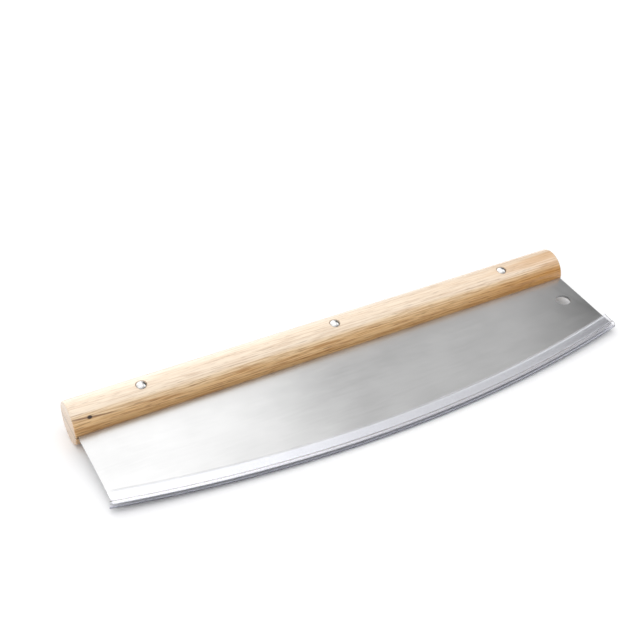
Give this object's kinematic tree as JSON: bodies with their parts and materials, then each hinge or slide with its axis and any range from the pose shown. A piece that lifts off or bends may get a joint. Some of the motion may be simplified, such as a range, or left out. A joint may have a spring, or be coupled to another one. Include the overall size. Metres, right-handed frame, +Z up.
{
  "type": "rocking pizza knife",
  "caption": "Long rocking knife for cutting pizza: a wide steel blade with a curved edge, a round wooden handle riveted along its back, and a clear guard over the edge.",
  "frame": {"origin": "centre of the bounding box's base, on the surface that the knife lies on", "axes": "+X along the handle towards the end with the hanging hole, +Y from the cutting edge towards the handle, +Z up from the surface"},
  "size_m": [0.354, 0.103, 0.0279],
  "materials": {
    "blade_steel": "satin rolled stainless sheet with a faint grain, ground bright along the edge",
    "handle_wood": "pale oak, turned and sanded, with a thin clear oil",
    "rivet_steel": "polished nickel-plated steel",
    "guard_plastic": "clear extruded soft plastic, faintly milky with a slight blue-violet tint"
  },
  "bodies": {
    "knife": {"blade": "blade_steel", "upper_scale": "handle_wood", "lower_scale": "handle_wood", "rivet_tube_left": "rivet_steel", "rivet_tube_mid": "rivet_steel", "rivet_tube_right": "rivet_steel", "rivet_pin_left": "rivet_steel", "rivet_pin_mid": "rivet_steel", "rivet_pin_right": "rivet_steel"},
    "guard": {"edge_guard": "guard_plastic"}
  },
  "joints": [
    {"name": "guard_pull", "type": "slide", "parent": "knife", "child": "guard", "axis": [0, -0.9919, -0.1273], "range_m": [0, 0.03]}
  ]
}
